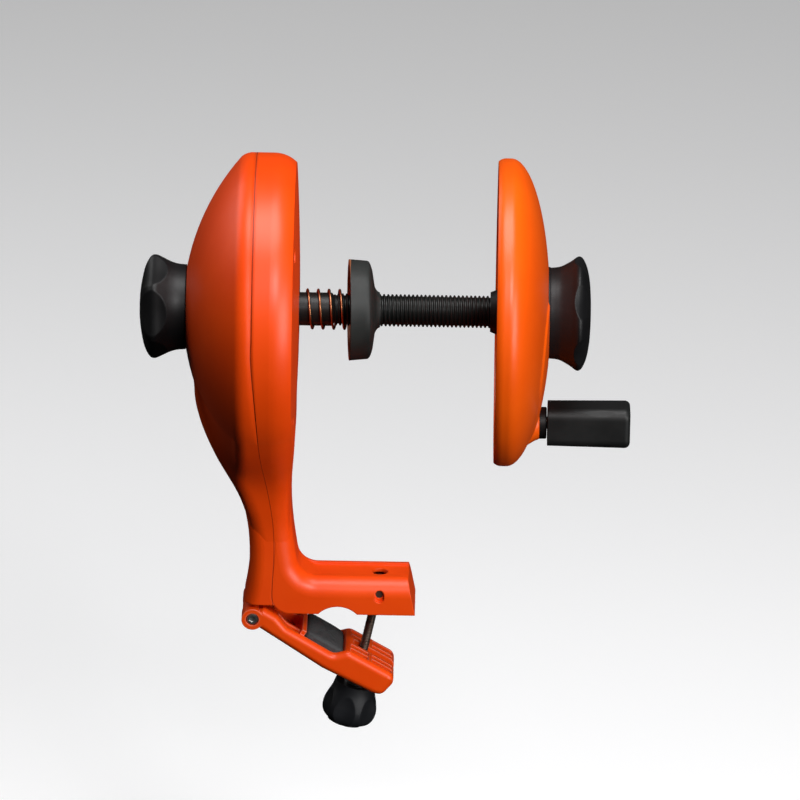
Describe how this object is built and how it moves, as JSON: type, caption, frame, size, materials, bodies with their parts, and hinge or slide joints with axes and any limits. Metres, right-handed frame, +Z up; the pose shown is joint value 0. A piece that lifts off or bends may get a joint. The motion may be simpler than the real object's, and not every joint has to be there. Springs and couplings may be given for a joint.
{
  "type": "fishing line winder",
  "caption": "Hand-cranked line spooling tool with a rod clamp: a spool is held between a sprung cone and a screwed disc, and line is wound under an adjustable drag.",
  "frame": {"origin": "on the spool shaft's axis, at the nose of the spool cone, where the spool's bore begins", "axes": "+X along the spool shaft towards the winder disc and its crank, +Z up, Y across, with +Y away from the viewer of the picture"},
  "size_m": [0.1964, 0.124, 0.2417],
  "materials": {
    "orange_plastic": "satin moulded ABS, soft gloss",
    "clear_orange_plastic": "satin moulded nylon, slightly translucent",
    "black_plastic": "satin moulded nylon",
    "black_shaft": "turned acetal, satin gloss, threaded",
    "black_metal": "blackened steel",
    "grip_plastic": "fine grained nylon",
    "rubber_grey": "moulded rubber",
    "copper_wire": "copper-coloured spring wire",
    "steel": "bright zinc-plated steel",
    "dark_steel": "oiled steel",
    "bronze": "sintered bronze",
    "fibre": "fibre washer"
  },
  "bodies": {
    "housing": {"front_shell": "orange_plastic", "rear_shell": "orange_plastic", "shell_screws": "steel", "front_bush": "bronze", "rear_bush": "bronze", "friction_washer": "fibre", "hinge_pin": "steel", "hinge_nut": "steel", "cross_pin": "steel"},
    "spindle": {"spool_shaft": "black_shaft", "shaft_clip": "steel", "pressure_plate": "steel", "cup_springs": "steel", "spring_seat": "black_metal", "cone_spring": "copper_wire"},
    "drag_pusher": {"thrust_washer": "steel"},
    "drag_knob": {"drag_knob": "black_plastic", "drag_knob_nut": "steel"},
    "cone": {"spool_cone": "black_plastic"},
    "disc": {"winder_disc": "orange_plastic", "disc_back": "orange_plastic", "disc_hub": "black_plastic", "knob_washer": "black_plastic", "crank_pin": "steel", "crank_nut": "steel", "crank_collar": "black_plastic"},
    "clamp_knob": {"clamp_knob": "black_plastic", "clamp_knob_nut": "steel", "knob_clip": "steel"},
    "grip": {"crank_grip": "grip_plastic", "grip_plug": "grip_plastic"},
    "lower_jaw": {"lower_jaw": "clear_orange_plastic", "jaw_pad": "rubber_grey"},
    "bolt": {"swing_bolt": "dark_steel"},
    "jaw_washer": {"jaw_washer": "steel"},
    "jaw_knob": {"jaw_knob": "black_plastic", "jaw_knob_nut": "steel"}
  },
  "joints": [
    {"name": "spool_spin", "type": "hinge", "parent": "housing", "child": "spindle", "pos_m": [0, 0, 0], "axis": [1, 0, 0], "continuous": true},
    {"name": "drag_slide", "type": "slide", "parent": "spindle", "child": "drag_pusher", "axis": [1, 0, 0], "range_m": [-0.0016, 0], "deforming": ["cup_springs"]},
    {"name": "drag_turn", "type": "hinge", "parent": "drag_pusher", "child": "drag_knob", "pos_m": [-0.0832, 0, 0], "axis": [1, 0, 0], "range_deg": [-462, 1]},
    {"name": "cone_slide", "type": "slide", "parent": "spindle", "child": "cone", "axis": [1, 0, 0], "range_m": [-0.0145, 0], "stiffness_N_per_m": 400, "deforming": ["cone_spring"]},
    {"name": "disc_slide", "type": "slide", "parent": "spindle", "child": "disc", "axis": [1, 0, 0], "range_m": [-0.028, 0.06]},
    {"name": "clamp_turn", "type": "hinge", "parent": "disc", "child": "clamp_knob", "pos_m": [0.0668, 0, 0], "axis": [1, 0, 0], "range_deg": [-6115, 13095]},
    {"name": "grip_spin", "type": "hinge", "parent": "disc", "child": "grip", "pos_m": [0.068, 0, -0.0469], "axis": [1, 0, 0], "continuous": true},
    {"name": "jaw_hinge", "type": "hinge", "parent": "housing", "child": "lower_jaw", "pos_m": [-0.0494, 0, -0.12865], "axis": [0, -1, 0], "range_deg": [-5, 20]},
    {"name": "bolt_swing", "type": "hinge", "parent": "housing", "child": "bolt", "pos_m": [0.0016, 0, -0.1173], "axis": [0, -1, 0], "range_deg": [-2.3, 9]},
    {"name": "washer_slide", "type": "slide", "parent": "bolt", "child": "jaw_washer", "axis": [0.2079, 0, 0.9781], "range_m": [-0.0046, 0.0181]},
    {"name": "jaw_knob_turn", "type": "hinge", "parent": "jaw_washer", "child": "jaw_knob", "pos_m": [0.0016, 0, -0.1173], "axis": [0.2079, 0, 0.9781], "range_deg": [-2350, 9300]}
  ],
  "couplings": [
    {"joint": "drag_turn", "follows": "drag_slide", "rad_per_m": 5026.5},
    {"joint": "clamp_turn", "follows": "disc_slide", "rad_per_m": 3808},
    {"joint": "bolt_swing", "follows": "jaw_hinge", "ratio": 0.4465},
    {"joint": "washer_slide", "follows": "jaw_hinge", "m_per_rad": 0.05148},
    {"joint": "jaw_knob_turn", "follows": "jaw_hinge", "ratio": 462.08}
  ]
}
